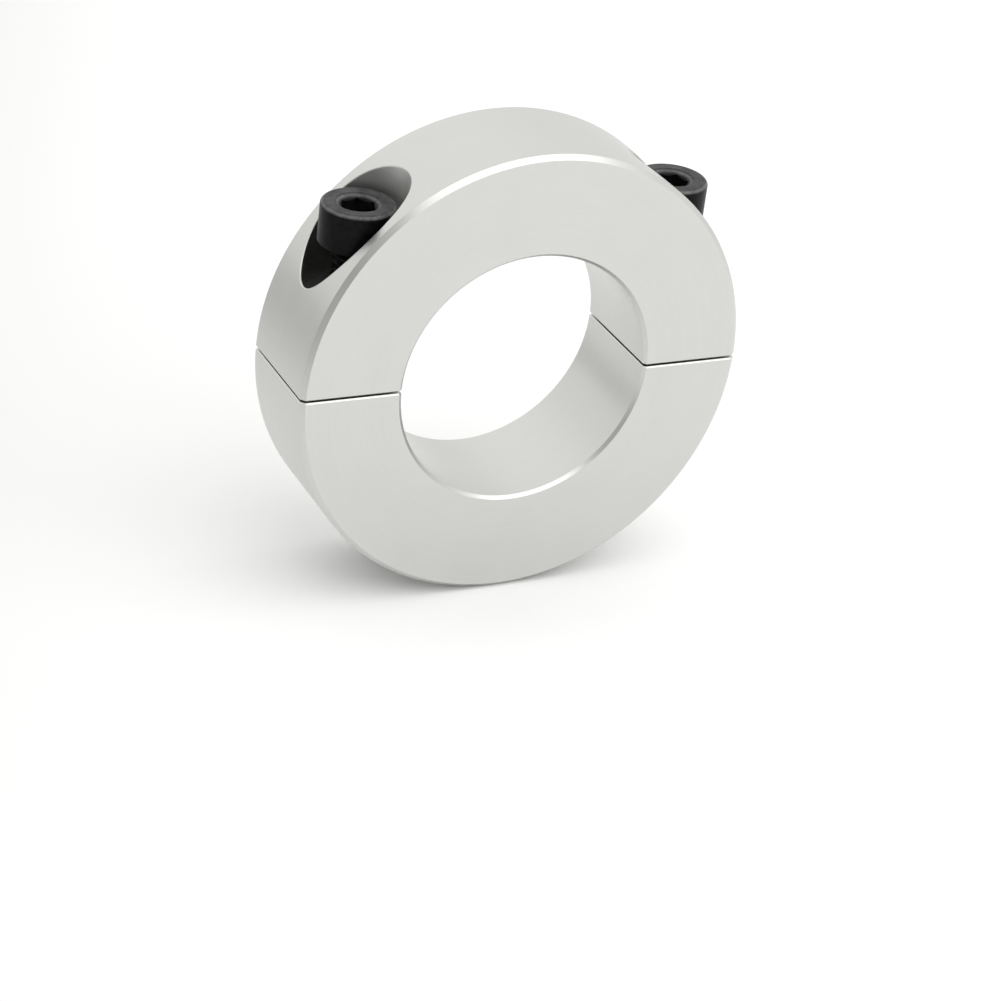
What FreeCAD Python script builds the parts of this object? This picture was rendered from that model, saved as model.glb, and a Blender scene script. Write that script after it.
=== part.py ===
import FreeCAD, Part
import math
import os

# A two-piece (double split) clamp collar for a round shaft, with its two cap screws backed out.
# Millimetres. The bore runs along Y, the split plane is Z = 0 and the screws stand along Z.
# The origin is on the bore's axis, halfway through the collar's width.

# The ring
outer_radius = 22.5
bore_radius = 12.5
width = 12.0
outer_chamfer = 0.45
bore_chamfer = 0.3
slit = 0.2  # gap between the halves while they hold a shaft of the bore's size
edge_break = 0.12  # on the edges of both split faces

# The screw holes, one on each side of the bore
screw_offset = 16.0
clearance_radius = 2.25
pocket_radius = 4.5
pocket_edge_radius = 0.15
seat_height = 7.8  # height of the pocket's floor, where a tightened screw's head bears
hole_countersink = 0.2

# The M4 thread
pitch = 0.7
nominal_radius = 2.0
flank_angle = 30.0
pitch_line_play = 0.06  # how far each thread's pitch radius stands off the nominal one
tap_drill_radius = 1.64
groove_root_radius = 2.03
groove_inner_radius = 1.58  # inside the drilled hole, so that the cutter clears its wall
tapped_turns = 16
drill_depth = 12.0
drill_point_angle = 118.0
tapped_countersink = 0.6

# The cap screw, M4 x 18
screw_length = 18.0
crest_radius = 1.95
core_radius = 1.53
ridge_inner_radius = 1.45  # inside the core, so that the ridge and the core join
neck_length = 0.7
neck_radius = 1.98
tip_chamfer = 0.5
head_radius = 3.5
head_height = 4.0
head_top_rounding = 0.4
head_foot_chamfer = 0.15
socket_across_flats = 3.0
socket_depth = 2.2
socket_mouth_radius = 2.2
socket_mouth_angle = 110.0
socket_point_angle = 120.0
turns_backed_out = 7  # from tight, in whole turns of the screw
socket_turn = {"left_screw": 12.0, "right_screw": -17.0}  # degrees, as each screw happens to stop

# Worked out from the above
half_width = width / 2
half_slit = slit / 2
pitch_radius = nominal_radius - 3 * math.sqrt(3) / 16 * pitch
head_foot = seat_height + turns_backed_out * pitch
head_top = head_foot + head_height
screw_tip = head_foot - screw_length
beyond = 2 * outer_radius  # longer than anything in the collar
neck_in_head = head_height / 4  # how far the neck runs into the head, to join it
same_place = 1e-6  # nearer than this, two computed places are one
on_curve = 1e-3  # the same for points sampled along a curved edge

X = FreeCAD.Vector(1, 0, 0)
Y = FreeCAD.Vector(0, 1, 0)
Z = FreeCAD.Vector(0, 0, 1)
ORIGIN = FreeCAD.Vector(0, 0, 0)


def turned(points, axis):
    """A solid of revolution about an axis through the origin, from its half section's corners."""
    outline = Part.makePolygon(points + points[:1])
    return Part.Face(outline).revolve(ORIGIN, axis, 360)


def upright_turned(section):
    """A solid of revolution about Z, from (radius, height) corners."""
    return turned([FreeCAD.Vector(radius, 0, height) for radius, height in section], Z)


def ring():
    """The whole turned ring, before it is split."""
    outer_flat = outer_radius - outer_chamfer
    bore_flat = bore_radius + bore_chamfer
    section = [
        (bore_flat, -half_width),
        (outer_flat, -half_width),
        (outer_radius, outer_chamfer - half_width),
        (outer_radius, half_width - outer_chamfer),
        (outer_flat, half_width),
        (bore_flat, half_width),
        (bore_radius, half_width - bore_chamfer),
        (bore_radius, bore_chamfer - half_width),
    ]
    return turned([FreeCAD.Vector(radius, y, 0) for radius, y in section], Y)


def half_ring(side):
    """The half of the ring above (side 1) or below (side -1) the slit, with its split edges broken."""
    floor = half_slit if side > 0 else -half_slit - beyond
    corner = FreeCAD.Vector(-beyond, -beyond, floor)
    half = ring().common(Part.makeBox(2 * beyond, 2 * beyond, beyond, corner)).Solids[0]
    split_edges = [
        edge
        for edge in half.Edges
        if all(abs(vertex.Z - side * half_slit) < same_place for vertex in edge.Vertexes)
        and abs(edge.CenterOfMass.z - side * half_slit) < same_place
    ]
    return half.makeChamfer(edge_break, split_edges)


def thread_half_width(radius, pitch_line):
    """Half the thread's width along its axis, at a radius."""
    return pitch / 4 + (pitch_line - radius) * math.tan(math.radians(flank_angle))


def thread(inner, outer, pitch_line, low, turns):
    """A right-hand helical ridge about Z. It passes +X at low and at every pitch above it."""
    corners = []
    for radius, side in ((inner, -1), (outer, -1), (outer, 1), (inner, 1)):
        height = low + side * thread_half_width(radius, pitch_line)
        corners.append(FreeCAD.Vector(radius, 0, height))
    profile = Part.makePolygon(corners + corners[:1])
    path = Part.makeHelix(pitch, turns * pitch, inner)
    path.translate(FreeCAD.Vector(0, 0, low))
    return Part.Wire(path).makePipeShell([profile], True, True)


def pocket_rims(half, x):
    """The edges where a head pocket opens through the ring's outside."""
    rims = []
    for edge in half.Edges:
        samples = edge.discretize(5)
        round_pocket = all(
            abs(math.hypot(point.x - x, point.y) - pocket_radius) < on_curve for point in samples
        )
        on_outside = all(
            abs(math.hypot(point.x, point.z) - outer_radius) < on_curve for point in samples
        )
        if round_pocket and on_outside:
            rims.append(edge)
    return rims


def upper_half():
    """The half that the screws pass through, with a flat-bottomed pocket for each head."""
    half = half_ring(1)
    for x in (-screw_offset, screw_offset):
        pocket = Part.makeCylinder(pocket_radius, beyond, FreeCAD.Vector(x, 0, seat_height))
        half = half.cut(pocket).Solids[0]
        half = half.makeFillet(pocket_edge_radius, pocket_rims(half, x))
        hole = upright_turned([
            (0, 0),
            (clearance_radius + hole_countersink + half_slit, 0),
            (clearance_radius, hole_countersink + half_slit),
            (clearance_radius, seat_height + pitch),
            (0, seat_height + pitch),
        ])
        hole.translate(X * x)
        half = half.cut(hole).Solids[0]
    return half


def tap():
    """The solid that a drilled and tapped hole leaves empty, without its countersink and drill point."""
    drill = Part.makeCylinder(tap_drill_radius, 2 * drill_depth, FreeCAD.Vector(0, 0, -drill_depth))
    groove = thread(
        groove_inner_radius,
        groove_root_radius,
        pitch_radius + pitch_line_play,
        -tapped_turns * pitch,
        tapped_turns + 1,
    )
    return drill.fuse(groove).Solids[0]


def lower_half():
    """The half that the screws draw up, with a blind tapped hole under each clearance hole."""
    mouth_radius = tap_drill_radius + tapped_countersink
    countersink = upright_turned([
        (0, pitch),
        (mouth_radius + half_slit + pitch, pitch),
        (0, -mouth_radius - half_slit),
    ])
    point_height = tap_drill_radius / math.tan(math.radians(drill_point_angle / 2))
    drill_point = upright_turned([
        (0, -drill_depth - point_height),
        (tap_drill_radius, -drill_depth),
        (0, -drill_depth + point_height),
    ])
    half = half_ring(-1)
    for x in (-screw_offset, screw_offset):
        for tool in (tap(), countersink, drill_point):
            tool = tool.copy()
            tool.translate(X * x)
            half = half.cut(tool).Solids[0]
    return half


def socket(turn):
    """The hexagon socket, with its conical bottom and the small countersink at its mouth."""
    corner_radius = socket_across_flats / math.sqrt(3)
    hexagon = []
    for i in range(6):
        angle = math.radians(turn + 60 * i)
        x = corner_radius * math.cos(angle)
        y = corner_radius * math.sin(angle)
        hexagon.append(FreeCAD.Vector(x, y, head_top - socket_depth))
    prism = Part.Face(Part.makePolygon(hexagon + hexagon[:1])).extrude(Z * 2 * socket_depth)
    flat_radius = socket_across_flats / 2
    point_height = flat_radius / math.tan(math.radians(socket_point_angle / 2))
    point = upright_turned([
        (0, head_top - socket_depth + pitch),
        (flat_radius, head_top - socket_depth + pitch),
        (flat_radius, head_top - socket_depth),
        (0, head_top - socket_depth - point_height),
    ])
    slope = math.tan(math.radians(socket_mouth_angle / 2))
    mouth = upright_turned([
        (0, head_top + pitch),
        (socket_mouth_radius + pitch * slope, head_top + pitch),
        (0, head_top - socket_mouth_radius / slope),
    ])
    return prism.fuse([point, mouth])


def rims_at(shape, height):
    """The closed edges of a shape that lie at a height."""
    return [
        edge
        for edge in shape.Edges
        if edge.Closed and abs(edge.CenterOfMass.z - height) < same_place
    ]


def cap_screw(name, x):
    """A fully threaded socket head cap screw, standing in its hole."""
    lowest_turn = math.floor(screw_tip / pitch) - 1
    highest_turn = math.floor((head_foot - neck_length) / pitch) + 1
    ridge = thread(
        ridge_inner_radius,
        crest_radius,
        pitch_radius - pitch_line_play,
        lowest_turn * pitch,
        highest_turn - lowest_turn,
    )
    core = Part.makeCylinder(core_radius, screw_length, FreeCAD.Vector(0, 0, screw_tip))
    threaded = core.fuse(ridge)
    envelope = upright_turned([
        (0, screw_tip),
        (crest_radius - tip_chamfer, screw_tip),
        (crest_radius + tip_chamfer, screw_tip + 2 * tip_chamfer),
        (crest_radius + tip_chamfer, head_foot),
        (0, head_foot),
    ])
    shank = threaded.common(envelope)
    neck_foot = FreeCAD.Vector(0, 0, head_foot - neck_length)
    neck = Part.makeCylinder(neck_radius, neck_length + neck_in_head, neck_foot)
    head = Part.makeCylinder(head_radius, head_height, FreeCAD.Vector(0, 0, head_foot))
    head = head.makeFillet(head_top_rounding, rims_at(head, head_top))
    head = head.makeChamfer(head_foot_chamfer, rims_at(head, head_foot))
    head = head.cut(socket(socket_turn[name]))
    screw = head.fuse([neck, shank]).Solids[0]
    screw.translate(X * x)
    return screw


def parts():
    """Every sub-part by its node's name."""
    return {
        "upper_half": upper_half(),
        "lower_half": lower_half(),
        "left_screw": cap_screw("left_screw", -screw_offset),
        "right_screw": cap_screw("right_screw", screw_offset),
    }


os.makedirs("parts", exist_ok=True)
for name, shape in parts().items():
    print(name, shape.ShapeType, shape.isValid(), round(shape.Volume, 2), shape.BoundBox)
    shape.exportStep(f"parts/{name}.step")
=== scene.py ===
import bpy
from mathutils import Matrix, Vector

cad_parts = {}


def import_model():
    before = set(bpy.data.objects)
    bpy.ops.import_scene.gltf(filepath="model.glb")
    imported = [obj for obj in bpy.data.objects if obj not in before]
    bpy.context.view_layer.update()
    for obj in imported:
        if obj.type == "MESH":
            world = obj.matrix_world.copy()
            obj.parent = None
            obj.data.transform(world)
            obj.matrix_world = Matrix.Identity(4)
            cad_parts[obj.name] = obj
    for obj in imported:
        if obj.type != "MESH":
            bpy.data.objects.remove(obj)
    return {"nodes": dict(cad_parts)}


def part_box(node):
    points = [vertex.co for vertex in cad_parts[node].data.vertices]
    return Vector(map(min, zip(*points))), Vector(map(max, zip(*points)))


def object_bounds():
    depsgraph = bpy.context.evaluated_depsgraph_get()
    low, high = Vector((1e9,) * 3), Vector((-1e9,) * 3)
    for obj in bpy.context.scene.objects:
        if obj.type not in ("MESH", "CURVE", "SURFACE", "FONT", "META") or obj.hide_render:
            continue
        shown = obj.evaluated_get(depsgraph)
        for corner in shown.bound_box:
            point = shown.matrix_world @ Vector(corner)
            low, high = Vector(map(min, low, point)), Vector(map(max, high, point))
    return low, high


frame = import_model()
cad_low, cad_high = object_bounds()
scene = bpy.context.scene
scene.view_settings.view_transform = "Standard"

MM = 0.001


# ---------------------------------------------------------------- node helpers

class Nodes:
    """A material's node tree, with short calls for the nodes that the materials here share."""

    def __init__(self, name):
        self.material = bpy.data.materials.new(name)
        self.material.use_nodes = True
        self.tree = self.material.node_tree
        self.tree.nodes.clear()
        output = self.tree.nodes.new("ShaderNodeOutputMaterial")
        self.shader = self.tree.nodes.new("ShaderNodeBsdfPrincipled")
        self.tree.links.new(self.shader.outputs["BSDF"], output.inputs["Surface"])

    def put(self, socket, value):
        """Links an output to a socket, or sets the socket to a plain value."""
        if isinstance(value, bpy.types.NodeSocket):
            self.tree.links.new(value, socket)
        else:
            socket.default_value = value

    def math(self, operation, *values):
        node = self.tree.nodes.new("ShaderNodeMath")
        node.operation = operation
        for socket, value in zip(node.inputs, values):
            self.put(socket, value)
        return node.outputs[0]

    def vary(self, value, amount, middle):
        """A number near middle that follows a 0 to 1 pattern by plus or minus half of amount."""
        return self.math("MULTIPLY_ADD", self.math("SUBTRACT", value, 0.5), amount, middle)

    def vector(self, operation, a, b=(0.0, 0.0, 0.0), output="Vector"):
        node = self.tree.nodes.new("ShaderNodeVectorMath")
        node.operation = operation
        self.put(node.inputs[0], a)
        self.put(node.inputs[1], b)
        return node.outputs[output]

    def combine(self, x, y, z):
        node = self.tree.nodes.new("ShaderNodeCombineXYZ")
        for socket, value in zip(node.inputs, (x, y, z)):
            self.put(socket, value)
        return node.outputs[0]

    def position(self):
        """The place on the piece at rest, in millimetres, as a vector and as x, y and z."""
        coordinates = self.tree.nodes.new("ShaderNodeTexCoord")
        to_mm = (1 / MM, 1 / MM, 1 / MM)
        place = self.vector("MULTIPLY", coordinates.outputs["Object"], to_mm)
        split = self.tree.nodes.new("ShaderNodeSeparateXYZ")
        self.put(split.inputs[0], place)
        return place, split.outputs[0], split.outputs[1], split.outputs[2]

    def noise(self, vector, scale, detail=2.0, roughness=0.5):
        node = self.tree.nodes.new("ShaderNodeTexNoise")
        self.put(node.inputs["Vector"], vector)
        node.inputs["Scale"].default_value = scale
        node.inputs["Detail"].default_value = detail
        node.inputs["Roughness"].default_value = roughness
        return node.outputs["Fac"]

    def ramp(self, value, low, high):
        """A smooth step of value, from 0 at low to 1 at high."""
        node = self.tree.nodes.new("ShaderNodeMapRange")
        node.interpolation_type = "SMOOTHSTEP"
        self.put(node.inputs["Value"], value)
        node.inputs["From Min"].default_value = min(low, high)
        node.inputs["From Max"].default_value = max(low, high)
        if low > high:
            node.inputs["To Min"].default_value = 1.0
            node.inputs["To Max"].default_value = 0.0
        return node.outputs["Result"]

    def mix(self, share, a, b):
        """From number a to number b."""
        node = self.tree.nodes.new("ShaderNodeMix")
        self.put(node.inputs[0], share)
        self.put(node.inputs[2], a)
        self.put(node.inputs[3], b)
        return node.outputs[0]

    def mix_colour(self, share, a, b):
        """From colour a to colour b."""
        node = self.tree.nodes.new("ShaderNodeMix")
        node.data_type = "RGBA"
        self.put(node.inputs[0], share)
        self.put(node.inputs[6], a)
        self.put(node.inputs[7], b)
        return node.outputs[2]

    def set_finish(self, colour, roughness, height, depth):
        """The base colour, the roughness, and a relief of that depth in millimetres."""
        self.put(self.shader.inputs["Base Color"], colour)
        self.put(self.shader.inputs["Roughness"], roughness)
        bump = self.tree.nodes.new("ShaderNodeBump")
        bump.inputs["Distance"].default_value = depth * MM
        self.put(bump.inputs["Height"], height)
        self.put(self.shader.inputs["Normal"], bump.outputs["Normal"])


def grey(level, tint=(1.0, 1.0, 1.0)):
    return (level * tint[0], level * tint[1], level * tint[2], 1.0)


# ---------------------------------------------------------------- sizes, in millimetres

half_low, half_high = [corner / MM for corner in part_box("upper_half")]
screw_low, screw_high = [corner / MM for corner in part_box("right_screw")]
SPLIT = half_low.z  # height of the upper half's split faces
OUTER_RADIUS = half_high.x
SCREW_OFFSET = (screw_low.x + screw_high.x) / 2
HEAD_RADIUS = (screw_high.x - screw_low.x) / 2
HEAD_TOP = screw_high.z
MOUTH_RADIUS = 2.2  # of the countersink round the socket
POCKET_RADIUS = 4.5
SEAT_HEIGHT = 7.8  # of the pocket's floor
HOLE_RADIUS = 2.3  # just outside the clearance holes' walls
SKIN = 0.1  # the screws' holes end deeper than twice this under the outside
FLOOR_GAP = 0.02  # between the collar and the floor
FLOOR_REACH = 3000.0  # from the collar's middle to the floor's sides
PAINTED_SHADE_REACH = 140.0  # to the left of the collar, where the floor's painted shade is full
SHARP_BLEND = 0.03  # how far one finish takes to go over into the next
SOFT_BLEND = 0.05
# The head's oxide is thinned, and on its top paled by a painted sheen, from the first of each pair on,
# and thinnest and palest from the second on
TOP_WEAR, TOP_FULL_WEAR = 0.4, 0.12  # under the head's top
RIM_WEAR, RIM_FULL_WEAR = 0.45, 0.1  # in from the head's side
MOUTH_WEAR, MOUTH_FULL_WEAR = 0.05, 0.25  # in from the countersink's edge

# ---------------------------------------------------------------- finishes
# A level is the share of the light that is sent back, and a relief is a depth in millimetres

ALUMINIUM_LEVEL = 0.605
ALUMINIUM_TINT = (1.0, 1.006, 0.972)
ALUMINIUM_ROUGHNESS = 0.33
ALUMINIUM_RELIEF = 0.003
COARSE_SHARE = 0.4  # of the coarse lathe marks among all of them
BLASTED_SHARE = 0.35  # of the blasted grain in the relief, for each share of the marks
SAW_LENGTH = 0.04  # how fast the saw's pattern changes along its marks, against across them
MILL_HEIGHT = 3.0  # how fast the mill's pattern changes up the walls, against across the floors
# Painted shade: the raw cut metal is darker than the turned outside, darkest at the pocket's floor and
# in the holes under it
RAW_SHADED_LEVEL_LOW = 0.36  # at the pocket's floor
RAW_SHADED_LEVEL_HIGH = 0.62  # at the height of the head's top
RAW_BLUE = 0.985
RAW_ROUGHNESS = 0.42

OXIDE_DARK = 0.0015
OXIDE_PALE = 0.008
OXIDE_TINT = (1.0, 1.0, 1.06)
OXIDE_MOTTLE = (0.35, 0.65)  # where the pattern goes over from dark to pale
OXIDE_ROUGHNESS = 0.38
OXIDE_RELIEF = 0.004
OXIDE_SPECULAR = 0.08
TURNED_SHARE = 0.5  # of the turned marks in the relief, for each share of the grain
# Grey of rubbed wear, also used for the painted sheen on the head's top
WEAR_AND_SHEEN_LEVEL = 0.18
TOP_WEAR_AND_SHEEN_SHARE = 0.35  # of the wear at the rim and the mouth, on the rest of the head's top as a painted sheen that pales the whole top

FLOOR_LEVELS = (0.86, 0.88)
# Painted shade: the floor's grey far to the left of the collar
FLOOR_PAINTED_SHADE_LEVEL = 0.5
FLOOR_ROUGHNESS = 0.7
FLOOR_RELIEF = 0.002
FLOOR_SPECULAR = 0.2

# ---------------------------------------------------------------- surroundings and camera

SURROUNDINGS_LEVEL = 1.02
SURROUNDINGS_TINT = (1.0, 1.0, 0.99)
BEHIND_LEVEL = 1.16
FRONT_LEVEL = 0.45
HIGH_BEHIND = (0.0, 0.7, 0.7)
LOW_IN_FRONT = (-0.65, -0.72, 0.2)
LEFTWARD = (-0.95, 0.3, 0.0)

CAMERA_PLACE = (-121.1, -228.6, 125.7)  # in millimetres from the middle of the bore
CAMERA_RIGHT = (0.902, -0.417, 0.112)  # the way that the picture's right side points
CAMERA_UP = (0.114, 0.480, 0.870)
LENS = 109.0
SENSOR_WIDTH = 36.0


# ---------------------------------------------------------------- materials

def aluminium():
    """Fine-turned, lightly blasted and clear-anodised aluminium, raw where pockets and holes are cut,
    with painted shade that darkens the raw metal, most at the pocket's floor.
    """
    n = Nodes("turned_aluminium")
    place, x, y, z = n.position()
    radius = n.vector("LENGTH", n.combine(x, 0.0, z), output="Value")
    from_screw = n.math("SUBTRACT", n.math("ABSOLUTE", x), SCREW_OFFSET)
    screw_radius = n.vector("LENGTH", n.combine(from_screw, y, 0.0), output="Value")
    in_hole = n.math(
        "MULTIPLY",
        n.ramp(screw_radius, HOLE_RADIUS + SOFT_BLEND, HOLE_RADIUS),
        n.ramp(radius, OUTER_RADIUS - SKIN, OUTER_RADIUS - 2 * SKIN),
    )
    in_pocket = n.math(
        "MULTIPLY",
        n.ramp(screw_radius, POCKET_RADIUS + 2 * SHARP_BLEND, POCKET_RADIUS + SHARP_BLEND),
        n.ramp(z, SEAT_HEIGHT - 2 * SOFT_BLEND, SEAT_HEIGHT - SOFT_BLEND),
    )
    raw_share = n.math("MAXIMUM", in_pocket, in_hole)
    on_split = n.ramp(n.math("ABSOLUTE", z), SPLIT + SOFT_BLEND, SPLIT + SOFT_BLEND - SHARP_BLEND)

    # Marks of the lathe are rings on the faces and lines round the outside and the bore.
    turned = n.combine(radius, y, 0.0)
    fine = n.noise(turned, scale=6.0, detail=2.0, roughness=0.6)
    coarse = n.noise(turned, scale=1.7)
    marks = n.mix(COARSE_SHARE, fine, coarse)
    # Marks of the end mill go round the pockets.
    # Marks of the saw on the split faces run parallel to the bore.
    milled_place = n.combine(screw_radius, 0.0, n.math("MULTIPLY", z, MILL_HEIGHT))
    milled = n.noise(milled_place, scale=3.0, detail=3.0, roughness=0.6)
    marks = n.mix(raw_share, marks, milled)
    sawn_place = n.combine(x, n.math("MULTIPLY", y, SAW_LENGTH), 0.0)
    sawn = n.noise(sawn_place, scale=5.0, detail=3.0, roughness=0.6)
    marks = n.mix(on_split, marks, sawn)
    blasted = n.noise(place, scale=9.0, detail=3.0, roughness=0.6)
    cloud = n.noise(place, scale=0.22, detail=3.0, roughness=0.55)

    level = n.vary(cloud, amount=0.035, middle=ALUMINIUM_LEVEL)
    level = n.vary(marks, amount=0.07, middle=level)
    body = n.vector("MULTIPLY", n.combine(level, level, level), ALUMINIUM_TINT)
    # Painted shade: the raw metal gets paler from the pocket's floor up to the height of the head's top
    shade_fade_up_pocket = n.ramp(z, SEAT_HEIGHT, HEAD_TOP)
    raw_with_painted_shade = n.mix(shade_fade_up_pocket, RAW_SHADED_LEVEL_LOW, RAW_SHADED_LEVEL_HIGH)
    raw_with_painted_shade = n.vary(milled, amount=0.22, middle=raw_with_painted_shade)
    raw_shaded_colour = n.combine(raw_with_painted_shade, raw_with_painted_shade, n.math("MULTIPLY", raw_with_painted_shade, RAW_BLUE))
    colour = n.mix_colour(raw_share, body, raw_shaded_colour)
    roughness = n.vary(cloud, amount=0.10, middle=ALUMINIUM_ROUGHNESS)
    roughness = n.vary(coarse, amount=0.12, middle=roughness)
    roughness = n.mix(raw_share, roughness, RAW_ROUGHNESS)
    height = n.math("MULTIPLY_ADD", blasted, BLASTED_SHARE, marks)
    n.set_finish(colour, roughness, height, ALUMINIUM_RELIEF)
    n.shader.inputs["Metallic"].default_value = 1.0
    return n.material


def black_oxide():
    """Oiled black oxide on steel, thin and grey where edges rub, with a painted sheen that makes the
    whole top of the head paler.
    """
    n = Nodes("black_oxide")
    place, x, y, z = n.position()
    from_screw = n.math("SUBTRACT", n.math("ABSOLUTE", x), SCREW_OFFSET)
    radius = n.vector("LENGTH", n.combine(from_screw, y, 0.0), output="Value")
    cloud = n.noise(place, scale=1.1, detail=3.0, roughness=0.6)
    grain = n.noise(place, scale=16.0, detail=3.0, roughness=0.65)
    turned = n.noise(n.combine(radius, z, 0.0), scale=7.0)

    near_top = n.ramp(z, HEAD_TOP - TOP_WEAR, HEAD_TOP - TOP_FULL_WEAR)
    near_edge = n.ramp(radius, HEAD_RADIUS - RIM_WEAR, HEAD_RADIUS - RIM_FULL_WEAR)
    near_mouth = n.ramp(radius, MOUTH_RADIUS - MOUTH_WEAR, MOUTH_RADIUS - MOUTH_FULL_WEAR)
    # Rubbed wear at the rim and the socket's mouth, and a painted sheen that pales the whole top of the
    # head
    rim = n.math("MULTIPLY", near_edge, near_top)
    mouth = n.math("MULTIPLY", near_mouth, near_top)
    top_wear_and_sheen = n.math("MULTIPLY", near_top, TOP_WEAR_AND_SHEEN_SHARE)
    wear_and_sheen = n.math("MAXIMUM", n.math("MAXIMUM", rim, mouth), top_wear_and_sheen)
    wear_and_sheen = n.math("MULTIPLY", wear_and_sheen, n.vary(cloud, amount=1.6, middle=0.7))
    mottle_low, mottle_high = OXIDE_MOTTLE
    mottle = n.ramp(n.mix(0.5, cloud, grain), mottle_low, mottle_high)
    oxide = n.mix_colour(mottle, grey(OXIDE_DARK), grey(OXIDE_PALE, OXIDE_TINT))
    colour = n.mix_colour(wear_and_sheen, oxide, grey(WEAR_AND_SHEEN_LEVEL))
    roughness = n.vary(cloud, amount=0.16, middle=OXIDE_ROUGHNESS)
    roughness = n.vary(grain, amount=0.14, middle=roughness)
    height = n.math("MULTIPLY_ADD", turned, TURNED_SHARE, grain)
    n.set_finish(colour, roughness, height, OXIDE_RELIEF)
    n.shader.inputs["Specular IOR Level"].default_value = OXIDE_SPECULAR
    return n.material


finish_of = {"collar_aluminium": aluminium(), "black_screw": black_oxide()}
slot_of = {
    "upper_half": "collar_aluminium",
    "lower_half": "collar_aluminium",
    "left_screw": "black_screw",
    "right_screw": "black_screw",
}
for name, node in frame["nodes"].items():
    node.data.materials.clear()
    node.data.materials.append(finish_of[slot_of[name]])


# ---------------------------------------------------------------- floor, light and camera

def floor():
    """A plain pale floor just under the collar's lowest point, with painted shade that makes it less
    bright away to the left.
    """
    reach = FLOOR_REACH * MM
    z = cad_low.z - FLOOR_GAP * MM
    mesh = bpy.data.meshes.new("floor")
    corners = [(-reach, -reach, z), (reach, -reach, z), (reach, reach, z), (-reach, reach, z)]
    mesh.from_pydata(corners, [], [(0, 1, 2, 3)])
    plane = bpy.data.objects.new("floor", mesh)
    scene.collection.objects.link(plane)
    n = Nodes("pale_floor")
    place = n.position()[0]
    low_level, high_level = FLOOR_LEVELS
    pale = n.mix_colour(n.noise(place, scale=0.01), grey(low_level), grey(high_level))
    # Painted shade: the floor goes grey away to the left of the collar, as if the light fell off there
    leftward = n.vector("DOT_PRODUCT", place, LEFTWARD, output="Value")
    colour = n.mix_colour(n.ramp(leftward, 0.0, PAINTED_SHADE_REACH), pale, grey(FLOOR_PAINTED_SHADE_LEVEL))
    n.set_finish(colour, FLOOR_ROUGHNESS, n.noise(place, scale=2.0), FLOOR_RELIEF)
    n.shader.inputs["Specular IOR Level"].default_value = FLOOR_SPECULAR
    mesh.materials.append(n.material)


def world():
    """White surroundings, brightest high up behind and darker low in front, round the camera."""
    made = bpy.data.worlds.new("studio")
    scene.world = made
    made.use_nodes = True
    tree = made.node_tree
    coordinates = tree.nodes.new("ShaderNodeTexCoord")

    def toward(direction, low, base, level):
        """The base colour, going to a grey level where the cosine to that direction passes low."""
        dot = tree.nodes.new("ShaderNodeVectorMath")
        dot.operation = "DOT_PRODUCT"
        tree.links.new(coordinates.outputs["Generated"], dot.inputs[0])
        dot.inputs[1].default_value = Vector(direction).normalized()
        step = tree.nodes.new("ShaderNodeMapRange")
        step.interpolation_type = "SMOOTHSTEP"
        step.inputs["From Min"].default_value = low
        tree.links.new(dot.outputs["Value"], step.inputs["Value"])
        mix = tree.nodes.new("ShaderNodeMix")
        mix.data_type = "RGBA"
        tree.links.new(step.outputs["Result"], mix.inputs[0])
        if isinstance(base, bpy.types.NodeSocket):
            tree.links.new(base, mix.inputs[6])
        else:
            mix.inputs[6].default_value = base
        mix.inputs[7].default_value = grey(level, SURROUNDINGS_TINT)
        return mix.outputs[2]

    white = grey(SURROUNDINGS_LEVEL, SURROUNDINGS_TINT)
    colour = toward(HIGH_BEHIND, low=0.75, base=white, level=BEHIND_LEVEL)
    colour = toward(LOW_IN_FRONT, low=0.6, base=colour, level=FRONT_LEVEL)
    tree.links.new(colour, tree.nodes["Background"].inputs["Color"])


def soft_box(direction, distance, size, power):
    """A square light that faces the collar from that direction."""
    data = bpy.data.lights.new("soft_box", "AREA")
    data.shape = "SQUARE"
    data.size = size
    data.energy = power
    light = bpy.data.objects.new("soft_box", data)
    back = Vector(direction).normalized()
    turn = back.to_track_quat("Z", "Y").to_matrix().to_4x4()
    light.matrix_world = Matrix.Translation(back * distance) @ turn
    scene.collection.objects.link(light)


def camera():
    """A long lens in front, a little to the left and above, as in the photograph."""
    data = bpy.data.cameras.new("camera")
    data.sensor_width = SENSOR_WIDTH
    data.lens = LENS
    data.clip_start = 10 * MM
    right = Vector(CAMERA_RIGHT).normalized()
    back = right.cross(Vector(CAMERA_UP)).normalized()
    up = back.cross(right)
    place = Matrix((right, up, back)).transposed().to_4x4()
    place.translation = Vector(CAMERA_PLACE) * MM
    seen = bpy.data.objects.new("camera", data)
    seen.matrix_world = place
    scene.collection.objects.link(seen)
    scene.camera = seen


floor()
world()
soft_box(direction=(0.2, -0.5, 0.78), distance=0.6, size=0.8, power=2.2)
camera()
